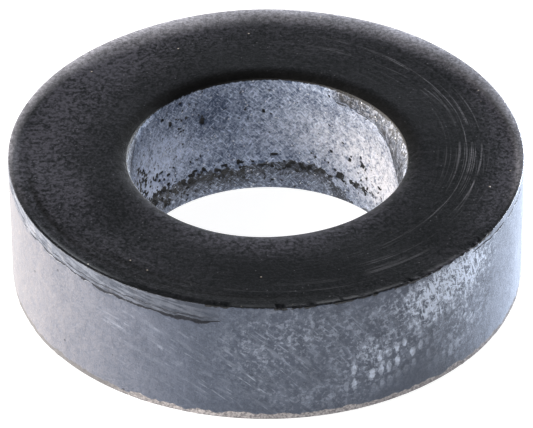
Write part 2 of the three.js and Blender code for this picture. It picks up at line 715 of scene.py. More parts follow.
@dataclass(frozen=True)
class FaceWear:
    """The cut faces: a slight dish, the knife's groove near the rim with painted shade along it, the
    paler worn areas and a painted highlight at the front of the bore.
    """

    groove_reach: float = 0.932
    second_reach: float = 0.885
    second_share: float = 0.6
    groove_depth: float = 0.034
    dish: float = 0.01
    bloom: tuple[Patch, ...] = (
        Patch(-118.0, 10.3, 40.0, 2.2, 0.75),
        Patch(-150.0, 10.9, 30.0, 1.2, 0.5),
        Patch(-82.0, 10.6, 26.0, 1.4, 0.55),
        Patch(-40.0, 10.0, 20.0, 1.5, 0.35),
        Patch(165.0, 11.3, 30.0, 0.6, 0.7),
        Patch(115.0, 11.4, 45.0, 0.6, 0.55),
        Patch(-72.0, 9.2, 9.0, 0.6, 0.5),
        Patch(175.0, 9.8, 60.0, 2.4, 0.22),
        Patch(88.0, 11.1, 30.0, 0.9, 0.62),
        # Painted highlight: this pale patch at the front of the bore stands for the light that the
        # face's edge catches there.
        Patch(0.0, 6.7, 62.0, 1.1, 0.75),
    )
    marks: tuple[Patch, ...] = (
        Patch(112.0, 9.4, 58.0, 1.0, 1.0),
        Patch(34.0, 9.7, 20.0, 1.2, 0.28),
        Patch(-20.0, 10.6, 60.0, 0.5, 0.25),
    )

    def work(self, grid: Grid, sizes: RingSizes) -> None:
        """Shapes and paints the upper face."""
        places = grid.places()
        reach = grid.radius / sizes.outer
        groove_and_shade = np.exp(-(((reach - self.groove_reach) / 0.008) ** 2))
        groove_and_shade = groove_and_shade * window(grid.turn, -95.0, 25.0, 25.0)
        second = np.exp(-(((reach - self.second_reach) / 0.006) ** 2))
        second = self.second_share * second * window(grid.turn, -70.0, -5.0, 25.0)
        grid.push(0.012 * ripple(places, 6.0, 81) - self.dish)
        grid.push(-self.groove_depth * (groove_and_shade + second))
        # The groove's mask also lays painted shade on the face's colour.
        grid.paint["groove_and_shade"] = np.maximum(groove_and_shade, second)
        grid.paint["bloom"] = laid(self.bloom, grid.turn, grid.radius)
        grid.paint["marks"] = laid(self.marks, grid.turn, grid.radius)


# ---------------------------------------------------------------- shader maths


class Signal:
    """A shader value: a node's output socket that can be added, scaled and shaped."""

    def __init__(self, graph: Graph, socket: bpy.types.NodeSocket) -> None:
        """Wraps one output socket of a graph."""
        self.graph = graph
        self.socket = socket

    def _maths(self, operation: str, *values: Signal | float) -> Signal:
        """Adds one Math node over the values."""
        return self.graph.node("ShaderNodeMath", {"operation": operation}, dict(enumerate(values)))

    def __add__(self, other: Signal | float) -> Signal:
        """This value plus another."""
        return self._maths("ADD", self, other)

    __radd__ = __add__

    def __sub__(self, other: Signal | float) -> Signal:
        """This value less another."""
        return self._maths("SUBTRACT", self, other)

    def __rsub__(self, other: Signal | float) -> Signal:
        """Another value less this one."""
        return self._maths("SUBTRACT", other, self)

    def __mul__(self, other: Signal | float) -> Signal:
        """This value times another."""
        return self._maths("MULTIPLY", self, other)

    __rmul__ = __mul__

    def __truediv__(self, other: Signal | float) -> Signal:
        """This value over another."""
        return self._maths("DIVIDE", self, other)

    def __pow__(self, other: Signal | float) -> Signal:
        """This value raised to a power."""
        return self._maths("POWER", self, other)

    def size(self) -> Signal:
        """The value without its sign."""
        return self._maths("ABSOLUTE", self)

    def part(self) -> Signal:
        """What is left above the whole number below."""
        return self._maths("FRACT", self)

    def whole(self) -> Signal:
        """The whole number below."""
        return self._maths("FLOOR", self)

    def over(self, other: Signal | float) -> Signal:
        """The larger of this value and another."""
        return self._maths("MAXIMUM", self, other)

    def under(self, other: Signal | float) -> Signal:
        """The smaller of this value and another."""
        return self._maths("MINIMUM", self, other)

    def bearing(self, ahead: Signal) -> Signal:
        """The angle, in radians, of a point that lies this far aside and another value ahead."""
        return self._maths("ARCTAN2", self, ahead)

    def held(self) -> Signal:
        """The value kept between zero and one."""
        return self.over(0.0).under(1.0)

    def stepped(self, low: float, high: float) -> Signal:
        """A smooth step: zero at low, one at high, either way round."""
        settings = {"interpolation_type": "SMOOTHSTEP"}
        links = {"Value": self, "From Min": low, "From Max": high}
        return self.graph.node("ShaderNodeMapRange", settings, links)


Colour = tuple[float, float, float]


@dataclass
class Graph:
    """The node tree of a material or a world, with one method that adds any node."""

    tree: bpy.types.NodeTree

    @classmethod
    def emptied(cls, owner: bpy.types.Material | bpy.types.World) -> Graph:
        """Takes over the node tree of a material or a world, with nothing in it."""
        owner.use_nodes = True
        owner.node_tree.nodes.clear()
        return cls(owner.node_tree)

    def add(self, kind: str, settings: dict, links: dict) -> bpy.types.Node:
        """Adds one node.

        Args:
            kind: The node's type.
            settings: Its properties, set before its sockets are filled.
            links: Signals or plain values by socket name or number.

        Returns:
            The node.
        """
        made = self.tree.nodes.new(kind)
        for name, value in settings.items():
            setattr(made, name, value)
        for name, value in links.items():
            if isinstance(value, Signal):
                self.tree.links.new(value.socket, made.inputs[name])
            elif isinstance(value, tuple) and made.inputs[name].type == "RGBA":
                made.inputs[name].default_value = (*value, 1.0)
            else:
                made.inputs[name].default_value = value
        return made

    def node(self, kind: str, settings: dict, links: dict, output: int | str = 0) -> Signal:
        """Adds one node and hands on the chosen output."""
        return Signal(self, self.add(kind, settings, links).outputs[output])

    def show(self, shader: Signal, output: str) -> None:
        """Hands a shader to the tree's output."""
        self.add(output, {}, {"Surface": shader})

    def blend(self, share: Signal, below: Signal | Colour, above: Signal | Colour) -> Signal:
        """One colour laid over another by a share."""
        links = {"Factor": share, 6: below, 7: above}
        return self.node("ShaderNodeMix", {"data_type": "RGBA"}, links, 2)

    def ratio(self, share: Signal, below: Signal | float, above: Signal | float) -> Signal:
        """One number laid over another by a share."""
        return self.node("ShaderNodeMix", {"data_type": "FLOAT"}, {"Factor": share, 2: below, 3: above})

    def painted(self, name: str) -> Signal:
        """A value painted on the mesh."""
        return self.node("ShaderNodeAttribute", {"attribute_name": name}, {}, "Fac")


@dataclass(frozen=True)
class Speckle:
    """Noise pushed apart: its crests per millimetre, the levels that turn dark and pale, its detail."""

    scale: float
    dark: float
    pale: float
    detail: float = 2.0


@dataclass(frozen=True)
class Scatter:
    """Small scattered dots: how many lie along a millimetre, their edge and core, where they gather."""

    scale: float
    edge: float
    core: float
    gathered: Speckle


@dataclass
class Surface:
    """Where a shaded point lies on the washer, in millimetres."""

    graph: Graph
    sizes: RingSizes

    def __post_init__(self) -> None:
        """Works out the point's place, its reach from the axis, its height and its arc lengths."""
        coordinates = self.graph.node("ShaderNodeTexCoord", {}, {}, "Object")
        scaled = {"operation": "SCALE"}
        self.place = self.graph.node("ShaderNodeVectorMath", scaled, {0: coordinates, "Scale": 1.0 / MM})
        parts = [self.graph.node("ShaderNodeSeparateXYZ", {}, {0: self.place}, axis) for axis in "XYZ"]
        self.x, y, self.z = parts
        self.reach = (self.x * self.x + y * y) ** 0.5
        turn = self.x.bearing(0.0 - y)
        self.turn = turn * (180.0 / math.pi)
        self.arc = turn * self.sizes.outer

    def grain(self, scale: float, detail: float = 2.0, roughness: float = 0.5) -> Signal:
        """Even noise of about a zero to one range, by its scale in crests per millimetre."""
        links = {"Vector": self.place, "Scale": scale, "Detail": detail, "Roughness": roughness}
        return self.graph.node("ShaderNodeTexNoise", {}, links, "Fac")

    def speckle(self, kind: Speckle) -> Signal:
        """Noise pushed apart into dark and pale: zero where dark and one where pale."""
        return self.grain(kind.scale, kind.detail, 0.65).stepped(kind.dark, kind.pale)

    def dots(self, kind: Scatter) -> Signal:
        """One inside each scattered dot."""
        links = {"Vector": self.place, "Scale": kind.scale}
        nearest = self.graph.node("ShaderNodeTexVoronoi", {}, links, "Distance")
        return nearest.stepped(kind.edge, kind.core) * self.speckle(kind.gathered)

    def crevice_shade(self, wander: float) -> Signal:
        """One along a crevice line, where its shade is painted, with an edge that wanders by some
        millimetres.
        """
        drop = self.graph.painted("line_drop") + (self.grain(6.0, 3.0) - 0.5) * wander
        width = self.graph.painted("line_width")
        main = (drop.size() - width).stepped(0.03, -0.01)
        upper = ((drop + 0.27).size() - width * 0.35).stepped(0.02, -0.01) * self.graph.painted("lip")
        return main.over(upper * 0.7) * width.stepped(0.004, 0.014)

    def drawn(self, along: Signal, across: Signal, offset: float, detail: float = 2.0) -> Signal:
        """Noise on two stretched coordinates, for marks that run one way."""
        spot = self.graph.node("ShaderNodeCombineXYZ", {}, {0: along, 1: across, 2: offset})
        links = {"Vector": spot, "Scale": 1.0, "Detail": detail}
        return self.graph.node("ShaderNodeTexNoise", {}, links, "Fac")


@dataclass
class Coat:
    """What a finish gives the shader: a colour, a roughness and a height in millimetres."""

    colour: Signal
    roughness: Signal
    height: Signal


# ---------------------------------------------------------------- the finishes


@dataclass(frozen=True)
class CutFace:
    """Rubber sliced with a wet knife: near black, satin, with fine marks round the axis."""

    black: Colour = (0.0028, 0.0040, 0.0052)
    worn: Colour = (0.040, 0.040, 0.054)
    mark: Colour = (0.17, 0.175, 0.20)
    rim: Colour = (0.35, 0.355, 0.41)
    speck: Colour = (0.40, 0.36, 0.30)
    # Painted shade, laid along the knife's groove and towards the bore's upper edge.
    groove_and_shade: Colour = (0.003, 0.003, 0.003)
    spiral: float = 0.0094
    spiral_start: float = 8.40
    cloud: Speckle = Speckle(0.5, 0.35, 0.65)
    mottle: Speckle = Speckle(3.0, 0.36, 0.66, 4.0)
    grit: Speckle = Speckle(6.0, 0.44, 0.62, 4.0)
    fine: Speckle = Speckle(11.0, 0.30, 0.70, 3.0)
    broken: Speckle = Speckle(0.6, 0.36, 0.60)
    faded: Speckle = Speckle(0.8, 0.35, 0.65)
    flecks: Scatter = Scatter(3.4, 0.15, 0.06, Speckle(1.7, 0.50, 0.60))
    dust_specks: Scatter = Scatter(1.15, 0.065, 0.03, Speckle(0.7, 0.52, 0.60, 1.0))

    def knife_lines(self, at: Surface) -> Signal:
        """Hairlines that the knife left, spiralling slowly round the axis."""
        marks = at.graph.painted("marks")
        outward = at.reach - at.turn * self.spiral
        inward = at.reach + at.turn * 0.004
        lines = at.drawn(outward * 11.0, at.turn * 0.016, 3.0, 1.0).stepped(0.56, 0.70)
        others = at.drawn(inward * 9.0, at.turn * 0.02, 7.0, 1.0).stepped(0.60, 0.74)
        some = ((lines + others * 0.7) * marks * at.speckle(self.broken)).held()
        near = (outward - self.spiral_start + (at.grain(0.5) - 0.5) * 0.15).size().stepped(0.035, 0.0)
        span = at.turn.stepped(44.0, 62.0) * at.turn.stepped(160.0, 140.0)
        return some.over(near * span * (0.35 + at.speckle(self.faded) * 0.6))

    def coat(self, at: Surface) -> Coat:
        """Builds the finish at a surface."""
        graph = at.graph
        bloom = graph.painted("bloom")
        groove_and_shade = graph.painted("groove_and_shade")
        near_rim = graph.painted("rim_near")
        cloud = at.speckle(self.cloud)
        mottle = at.speckle(self.mottle)
        fine = at.speckle(self.fine)
        rings = at.drawn(at.reach * 9.0, at.turn * 0.012, 1.0, 3.0)
        grit = at.speckle(self.grit)
        worn = bloom * (mottle * 0.72 + cloud * 0.22 + grit * 0.62)
        worn = (worn + (fine - 0.5) * 0.34 + mottle * cloud * 0.08 + grit * 0.08).held()
        colour = graph.blend(worn, self.black, self.worn)
        dusty_rim = near_rim * (0.30 + mottle * 0.26 + grit * 0.26 + cloud * 0.12 + fine * 0.44)
        colour = graph.blend(dusty_rim.held(), colour, self.rim)
        line = self.knife_lines(at)
        colour = graph.blend(line * 0.62, colour, self.mark)
        colour = graph.blend(at.dots(self.flecks) * 0.45, colour, self.mark)
        specks = at.dots(self.dust_specks)
        colour = graph.blend(specks * 0.9, colour, self.speck)
        # Painted shade: near black along the knife's groove and towards the bore's rounded upper edge.
        shaded = (groove_and_shade * 0.85 + graph.painted("mouth_shade") * 0.8).held()
        colour = graph.blend(shaded, colour, self.groove_and_shade)
        roughness = 0.29 + mottle * 0.03 + worn * 0.10 - line * 0.06 + fine * 0.04 - groove_and_shade * 0.03
        height = (rings - 0.5) * 0.004 + mottle * 0.003 + fine * 0.0018 + specks * 0.01
        return Coat(colour, roughness, height)


@dataclass(frozen=True)
class WrappedWall:
    """The outer skin, cured under wrapped cloth: bluish black with whitish dust in the weave."""

    skin: Colour = (0.024, 0.036, 0.062)
    pale: Colour = (0.078, 0.097, 0.146)
    dust: Colour = (0.62, 0.69, 0.84)
    # The sides' colours, partly haze and partly painted light.
    left_haze_and_light: Colour = (0.125, 0.116, 0.122)
    right_haze_and_light: Colour = (0.285, 0.33, 0.42)
    # Painted shade for the back of the wall.
    back_shade: Colour = (0.008, 0.009, 0.011)
    # Painted shade in the crevices, also the colour of the dark motes.
    crevice_shade: Colour = (0.003, 0.005, 0.012)
    lip_dark: Colour = (0.016, 0.017, 0.023)
    lip_pale: Colour = (0.19, 0.205, 0.245)
    torn_dark: Colour = (0.175, 0.165, 0.175)
    torn_pale: Colour = (0.52, 0.485, 0.49)
    torn_dull: Colour = (0.072, 0.071, 0.076)
    thread_across: float = 0.43
    thread_up: float = 0.80
    thread_lean: float = 0.28
    cloud: Speckle = Speckle(0.5, 0.32, 0.68, 4.0)
    mottle: Speckle = Speckle(2.6, 0.34, 0.66, 5.0)
    clump: Speckle = Speckle(1.9, 0.36, 0.68, 6.0)
    salt: Speckle = Speckle(5.0, 0.50, 0.62, 3.0)
    grain: Speckle = Speckle(6.0, 0.4, 0.6)
    fine: Speckle = Speckle(13.0, 0.28, 0.72, 3.0)
    tears: Speckle = Speckle(9.0, 0.36, 0.66, 4.0)
    nicked: Speckle = Speckle(1.1, 0.42, 0.62)
    sparks: Scatter = Scatter(2.6, 0.11, 0.04, Speckle(1.6, 0.48, 0.58, 1.0))
    motes: Scatter = Scatter(0.8, 0.075, 0.045, Speckle(0.9, 0.50, 0.54, 1.0))

    def weave(self, at: Surface) -> Signal:
        """The print of the wrapping cloth: upright ovals in rows that climb a little, some missing."""
        row = (at.z - at.arc * self.thread_lean) / self.thread_up + (at.grain(0.8, 1.0) - 0.5) * 0.6
        column = at.arc / self.thread_across + (at.grain(0.9) - 0.5) * 0.8 + row * 0.12
        spot = at.graph.node("ShaderNodeCombineXYZ", {}, {0: column.whole(), 1: row.whole(), 2: 0.0})
        chance = at.graph.node("ShaderNodeTexWhiteNoise", {}, {"Vector": spot}, "Value")
        aside = (column.part() - 0.5) / 0.40
        along = (row.part() - 0.5) / 0.46
        span = (aside * aside + along * along) ** 0.5
        ragged = span + (at.grain(6.0, 3.0, 0.7) - 0.5) * 1.2
        return ragged.stepped(0.95, 0.62) * chance.stepped(0.15, 0.5)

    def nicks(self, at: Surface) -> Signal:
        """Short pale scratches that run down to the right."""
        cross = at.z * 0.93 + at.arc * (0.85 + at.arc * 0.045)
        run = at.arc * 0.80 - at.z * 0.60
        thin = at.drawn(run * 0.9, cross * 6.5, 2.0, 3.0).stepped(0.54, 0.66)
        broad = at.drawn(run * 0.8, cross * 2.8, 5.0, 5.0).stepped(0.50, 0.70)
        return (thin * at.speckle(self.nicked) * 0.75 + broad * 0.30).held()

    def strokes(self, at: Surface) -> Signal:
        """Wiped strokes of dust in two directions that cross."""
        up = at.drawn(at.arc * 8.5 + at.z * 2.0, at.z * 1.2, 11.0, 2.0).stepped(0.50, 0.62)
        aside = at.drawn(at.arc * 1.6 - at.z * 1.1, at.z * 6.0 + at.arc * 4.0, 13.0, 2.0)
        return up.over(aside.stepped(0.54, 0.66) * 0.8)

    def dusted(self, at: Surface, mottle: Signal, fine: Signal, print_marks: Signal) -> Signal:
        """Works out how much whitish dust lies at each point.

        Args:
            at: The surface.
            mottle: The middling unevenness.
            fine: The fine unevenness.
            print_marks: Where the cloth's print shows.

        Returns:
            The share of dust.
        """
        graph = at.graph
        bloom = graph.painted("bloom")
        clump = at.speckle(self.clump)
        strokes = self.strokes(at)
        salt = at.speckle(self.salt)
        smoke = bloom * (clump * 0.65 + mottle * 0.35 + salt * 0.85 + fine * 0.30 - 0.46)
        smoke = (smoke.over(0.0) + strokes * (bloom - 0.40).over(0.0) * 1.4).held()
        in_weave = (graph.painted("weave") * print_marks * (0.5 + mottle * 0.6)).held()
        dusty = (smoke + in_weave * 0.8).held().over(self.nicks(at) * graph.painted("scratch") * 0.6)
        return dusty.over(at.dots(self.sparks) * (0.12 + bloom * 0.6).held())

    def coat(self, at: Surface) -> Coat:
        """Builds the finish at a surface."""
        graph = at.graph
        lip = graph.painted("lip")
        cloud = at.speckle(self.cloud)
        mottle = at.speckle(self.mottle)
        fine = at.speckle(self.fine)
        dots = self.weave(at)
        share = (cloud * 0.26 + mottle * 0.22 + fine * 0.44 + at.speckle(self.grain) * 0.18).held()
        colour = graph.blend(share, self.skin, self.pale)
        grainy = 0.22 + fine * 0.55 + mottle * 0.22 + cloud * 0.14
        # Haze and painted light on the wall's two sides.
        colour = graph.blend((graph.painted("left_haze_and_light") * grainy).held(), colour, self.left_haze_and_light)
        colour = graph.blend((graph.painted("right_haze_and_light") * grainy).held(), colour, self.right_haze_and_light)
        # Painted shade: the back of the wall goes darker.
        colour = graph.blend(graph.painted("back_shade") * (0.90 - fine * 0.25), colour, self.back_shade)
        dusty = self.dusted(at, mottle, fine, dots)
        colour = graph.blend(dusty * 0.9, colour, self.dust)
        # Dark motes, in the near black of the painted crevice shade.
        colour = graph.blend(at.dots(self.motes) * 0.9, colour, self.crevice_shade)
        streaks = at.drawn(at.arc * 0.7, at.z * 6.0 + at.arc * 0.9, 17.0, 4.0).stepped(0.44, 0.57)
        lip_mottle = streaks * 0.65 + mottle * 0.22 + fine * 0.20 - 0.06
        colour = graph.blend(lip * 0.85, colour, graph.blend(lip_mottle, self.lip_dark, self.lip_pale))
        torn = graph.blend(at.speckle(self.tears), self.torn_dark, self.torn_pale)
        band = (graph.painted("band") + (at.grain(5.0, 3.0) - 0.5) * 0.10).stepped(-0.02, 0.03)
        dull = (graph.painted("left_haze_and_light") * 1.9 + graph.painted("right_haze_and_light") * 0.9).held()
        torn = graph.blend(dull, torn, self.torn_dull)
        colour = graph.blend(band, colour, torn)
        # Painted shade round the crevice under the lip: the colour goes halfway back to the dark skin,
        # fading out about 0.3 mm below it.
        under_lip_shade = graph.painted("line_drop").stepped(0.34, 0.04)
        under_lip_shade = under_lip_shade * graph.painted("line_width").stepped(0.02, 0.06)
        colour = graph.blend(under_lip_shade * 0.55, colour, self.skin)
        # Painted shade along the crevice under the lip and the line under the rim.
        cut = at.crevice_shade(0.12)
        colour = graph.blend(cut, colour, self.crevice_shade)
        roughness = 0.38 + mottle * 0.10 + dusty * 0.25 + band * 0.30 + fine * 0.05 + cut * 0.45
        roughness = roughness + lip * (1.0 - cut) * 0.14 + graph.painted("back_shade") * 0.12
        height = mottle * 0.008 + fine * 0.004 + dusty * 0.010 - cut * 0.02
        height = height + dots * graph.painted("weave").held() * 0.012
        return Coat(colour, roughness, height)


@dataclass(frozen=True)
class BarBore:
    """The bore skin: grainy and glistening, with pale grit and painted glints, blow holes and a pale
    bloom.
    """

    skin: Colour = (0.044, 0.074, 0.145)
    pale: Colour = (0.61, 0.69, 0.86)
    bloom_left: Colour = (0.74, 0.81, 1.0)
    bloom_right: Colour = (0.76, 0.745, 0.78)
    low: Colour = (0.070, 0.076, 0.094)
    shade: Colour = (0.014, 0.016, 0.022)
    # Painted shade in the pits, pinholes, pocks and the peel's edge line.
    pit_and_shade: Colour = (0.004, 0.004, 0.005)
    # Pale grit and painted glints.
    grit_and_glint: Colour = (0.85, 0.86, 0.88)
    peel_dark: Colour = (0.012, 0.012, 0.014)
    peel_pale: Colour = (0.165, 0.172, 0.20)
    cloud: Speckle = Speckle(0.8, 0.38, 0.62)
    mottle: Speckle = Speckle(3.2, 0.38, 0.62, 5.0)
    fine: Speckle = Speckle(9.0, 0.36, 0.64, 4.0)
    peeling: Speckle = Speckle(4.5, 0.48, 0.60, 5.0)
    sparks: Scatter = Scatter(4.2, 0.22, 0.08, Speckle(2.1, 0.46, 0.56, 1.0))
    pinholes: Scatter = Scatter(2.3, 0.13, 0.07, Speckle(1.1, 0.50, 0.58, 1.0))

    def fibres(self, at: Surface) -> Signal:
        """Short pale dashes that run both ways, like the print of rough cloth."""
        arc = at.arc * (at.sizes.bore / at.sizes.outer)
        falling = at.drawn((arc + at.z) * 1.6, (arc - at.z) * 8.0, 19.0, 2.0).stepped(0.54, 0.66)
        rising = at.drawn((arc + at.z) * 8.0, (arc - at.z) * 1.8, 23.0, 2.0).stepped(0.56, 0.68)
        return falling.over(rising)

    def coat(self, at: Surface) -> Coat:
        """Builds the finish at a surface."""
        graph = at.graph
        bloom = graph.painted("bloom")
        below = graph.painted("band") + (at.grain(2.0, 5.0, 0.65) - 0.5) * 1.3
        cloud = at.speckle(self.cloud)
        mottle = at.speckle(self.mottle)
        fine = at.speckle(self.fine)
        fibres = self.fibres(at)
        share = cloud * 0.18 + mottle * 0.22 + fine * 0.44 + fibres * 0.50 - 0.11
        share = (share + bloom.under(0.0)).held()
        colour = graph.blend(share, self.skin, self.pale)
        smoke = (bloom * (0.14 + mottle * 0.55 + fine * 0.50)).held()
        bloom_colour = graph.blend(at.x.stepped(-3.0, 3.0), self.bloom_left, self.bloom_right)
        colour = graph.blend(smoke * 0.85, colour, bloom_colour)
        low = below.stepped(-0.03, 0.06) * (1.0 - fine * 0.42 - fibres * 0.38 - mottle * 0.10)
        low = low * (1.0 - below.stepped(0.7, 1.4) * 0.40)
        colour = graph.blend(low, colour, self.low)
        colour = graph.blend(low * below.stepped(0.95, 0.30), colour, self.shade)
        peel_colour = graph.blend(at.speckle(self.peeling), self.peel_dark, self.peel_pale)
        colour = graph.blend(graph.painted("peel") * (0.75 + mottle * 0.25), colour, peel_colour)
        # Bright dots, partly pale grit and partly painted glints.
        sparks = at.dots(self.sparks)
        colour = graph.blend(sparks * 0.95, colour, self.grit_and_glint)
        # Painted shade: the pits, pinholes, pocks and the peel's edge line are laid near black.
        pocks = (at.grain(3.8, 4.0, 0.6) + graph.painted("pocked") * 0.17).stepped(0.655, 0.69)
        hole = (graph.painted("pit_and_shade") + (at.grain(9.0, 3.0) - 0.5) * 0.9).stepped(0.35, 0.6)
        hole = hole.over(at.dots(self.pinholes) * 0.5).over(at.crevice_shade(0.10) * 0.9).over(pocks)
        colour = graph.blend(hole, colour, self.pit_and_shade)
        roughness = 0.34 + mottle * 0.14 + smoke * 0.15 + fine * 0.06
        height = mottle * 0.016 + fine * 0.014 + fibres * 0.008 - hole * 0.03 + sparks * 0.01
        return Coat(colour, roughness, height)


@dataclass(frozen=True)
class BlackRubber:
    """The washer's whole material: the three finishes and how they meet."""

    cut: CutFace = CutFace()
    wall: WrappedWall = WrappedWall()
    bore: BarBore = BarBore()
    corner_roughness: float = 0.75
    ior: float = 1.46

    def material(self, sizes: RingSizes) -> bpy.types.Material:
        """Builds the rubber.

        Args:
            sizes: The ring's sizes, by which the finishes find their place.

        Returns:
            The finished material.
        """
        made = bpy.data.materials.new("black_rubber")
        graph = Graph.emptied(made)
        at = Surface(graph, sizes)
        meeting = (at.grain(8.0, 3.0) - 0.5) * 0.14
        wall_in = graph.painted("wall_in") + meeting - graph.painted("chip") * 0.14
        on_wall = wall_in.stepped(-0.02, 0.03)
        in_bore = (graph.painted("bore_in") + meeting * 1.4).stepped(-0.02, 0.03)
        coat = self.cut.coat(at)
        for share, finish in ((on_wall, self.wall), (in_bore, self.bore)):
            over = finish.coat(at)
            colour = graph.blend(share, coat.colour, over.colour)
            roughness = graph.ratio(share, coat.roughness, over.roughness)
            height = graph.ratio(share, coat.height, over.height)
            coat = Coat(colour, roughness, height)
        coat.roughness = graph.ratio(graph.painted("corner"), coat.roughness, self.corner_roughness)
        bump = graph.node("ShaderNodeBump", {}, {"Height": coat.height, "Distance": MM, "Strength": 1.0})
        links = {"Base Color": coat.colour, "Roughness": coat.roughness, "Normal": bump, "IOR": self.ior}
        graph.show(graph.node("ShaderNodeBsdfPrincipled", {}, links), "ShaderNodeOutputMaterial")
        return made


# ---------------------------------------------------------------- the washer


@dataclass(frozen=True)
class Strip:
    """A row of mesh faces between two rings of points, with its corners' turn and section length."""

    corners: np.ndarray
    spots: np.ndarray


@dataclass
class WasherRing:
    """The washer's one piece: builds its mesh, paints it and dresses it."""

    sizes: RingSizes
    rubber: BlackRubber = field(default_factory=BlackRubber)
    fold: KnifeFold = field(default_factory=KnifeFold)
    rim_line: RimLine = field(default_factory=RimLine)
    chips: RimChips = field(default_factory=RimChips)
    foot_band: FootBand = field(default_factory=FootBand)
    wall_wear: WallWear = field(default_factory=WallWear)
    bore_wear: BoreWear = field(default_factory=BoreWear)
    face_wear: FaceWear = field(default_factory=FaceWear)
    paints: tuple[str, ...] = (
        "wall_in", "bore_in", "line_drop", "line_width", "lip", "chip", "band", "bloom",
        "weave", "scratch", "left_haze_and_light", "right_haze_and_light", "pit_and_shade", "pocked", "peel", "marks", "groove_and_shade",
        "rim_near", "mouth_shade", "corner", "back_shade",
    )
    rim_skin_lean: float = 24.0
    mouth_skin_lean: float = 100.0
    well_outside: float = 1.0
    seam_gap: float = 0.3

    def shaped(self) -> list[Grid]:
        """The section's stretches with their relief and their paint."""
        section = RingSection(self.sizes)
        grids = section.grids()
        for grid in grids:
            grid.paint = {name: np.zeros(grid.radius.shape) for name in self.paints}
            slope = np.arctan2(np.abs(grid.out), grid.up)
            self.mark_skins(grid, section, slope)
            self.mark_edges(grid, section, slope)
        for grid in grids:
            drop = self.sizes.thick - grid.height
            grid.radius = grid.radius + section.swell(grid)
            if grid.zone in (Zone.RIM, Zone.WALL, Zone.FOOT):
                self.wall_wear.work(grid, drop)
                self.fold.work(grid, drop)
                self.rim_line.work(grid, drop)
                self.chips.work(grid, drop)
                self.foot_band.work(grid, self.sizes.thick - drop)
            if grid.zone in (Zone.HEEL, Zone.BORE):
                self.bore_wear.work(grid, -from_back(grid.turn), drop, self.sizes)
            if grid.zone in (Zone.FACE, Zone.MOUTH):
                self.face_wear.work(grid, self.sizes)
        return grids

    def mark_skins(self, grid: Grid, section: RingSection, slope: np.ndarray) -> None:
        """Paints how far inside the wall's skin and the bore's skin each point lies.

        Args:
            grid: The stretch to paint.
            section: The section that it belongs to.
            slope: How far each point leans from straight up, in radians.
        """
        edge = section.rim_edge(grid.turn)
        drop = self.sizes.thick - grid.height
        wall_in = np.full(grid.radius.shape, -self.well_outside)
        bore_in = np.full(grid.radius.shape, -self.well_outside)
        if grid.zone in (Zone.FACE, Zone.RIM):
            lean = math.radians(self.rim_skin_lean)
            flat = grid.radius - self.sizes.outer + edge.bend * (1.0 - math.sin(lean))
            wall_in = np.where(slope > edge.lean() + 0.01, edge.bend * (slope - lean), flat)
        if grid.zone == Zone.WALL:
            wall_in = np.minimum(drop, grid.height)
        if grid.zone == Zone.FOOT:
            wall_in = grid.height - 0.4 * section.foot_round
        if grid.zone == Zone.HEEL:
            bore_in = np.full(grid.radius.shape, 0.1)
        if grid.zone == Zone.BORE:
            bore_in = drop - section.mouth_edge(grid.turn).depth() - 0.015
        if grid.zone == Zone.MOUTH:
            bore_in = section.mouth_bend * (slope - math.radians(self.mouth_skin_lean))
            bore_in = np.where(slope < 0.45, self.sizes.bore - grid.radius - 0.08, bore_in)
        grid.paint["wall_in"] = wall_in
        grid.paint["bore_in"] = bore_in

    def mark_edges(self, grid: Grid, section: RingSection, slope: np.ndarray) -> None:
        """Paints the dusty rim, the painted shade towards the bore's rounded upper edge and the corners
        rubbed dull.

        Args:
            grid: The stretch to paint.
            section: The section that it belongs to.
            slope: How far each point leans from straight up, in radians.
        """
        angle = around(grid.turn)
        mouth = section.mouth_edge(grid.turn)
        wide = 0.85 + 0.95 * window(angle, 100.0, 255.0, 45.0)
        dusty = ease(1.0 - (self.sizes.outer + 0.20 - grid.radius) / wide)
        patchy = 0.86 + 0.16 * ripple(grid.places(), 5.0, 91)
        grid.paint["rim_near"] = dusty * window(angle, 66.0, 296.0, 34.0) * patchy
        # Painted shade: the face darkens towards the bore's rounded upper edge, except at the front.
        inward = section.bore_radius(grid.turn, 0.0) + mouth.width() - grid.radius
        far = ease((120.0 - np.abs(from_back(grid.turn))) / 50.0)
        grid.paint["mouth_shade"] = ease(inward / 0.5) * far
        if grid.zone == Zone.RIM:
            grid.paint["corner"] = ease((slope - 0.25) / 0.2) * window(grid.turn, -135.0, 15.0, 30.0)
        if grid.zone == Zone.MOUTH:
            grid.paint["corner"] = ease((slope - 0.36) / 0.15)
        if grid.zone == Zone.BORE:
            deep = 0.10 + 0.60 * window(grid.turn, -125.0, -55.0, 25.0)
            beyond = self.sizes.thick - grid.height - mouth.depth()
            grid.paint["corner"] = ease(1.5 - beyond / deep)

    def sewn(self, above: np.ndarray, below: np.ndarray, lengths: tuple[float, float]) -> list[Strip]:
        """Joins two rings of points, which may differ in count by a factor of two.

        Args:
            above: Point numbers of the earlier ring.
            below: Point numbers of the later ring.
            lengths: How far along the section each ring lies.

        Returns:
            The strips of faces, each with the turn and length of its corners.
        """
        rings = {"top": (above, lengths[0]), "foot": (below, lengths[1])}
        shorter = min(len(above), len(below))

        def picked(*choices: tuple[str, int, int]) -> Strip:
            """Gathers corners, each chosen by its ring, its stride and its first place."""
            numbers, spots = [], []
            for name, stride, first in choices:
                ring, length = rings[name]
                turns = np.arange(len(ring) + 1) * 360.0 / len(ring)
                taken = slice(first, first + stride * (shorter - 1) + 1, stride)
                numbers.append(np.append(ring, ring[0])[taken])
                spots.append(np.stack((turns[taken], np.full(shorter, length)), axis=-1))
            return Strip(np.stack(numbers, axis=-1), np.stack(spots, axis=1))

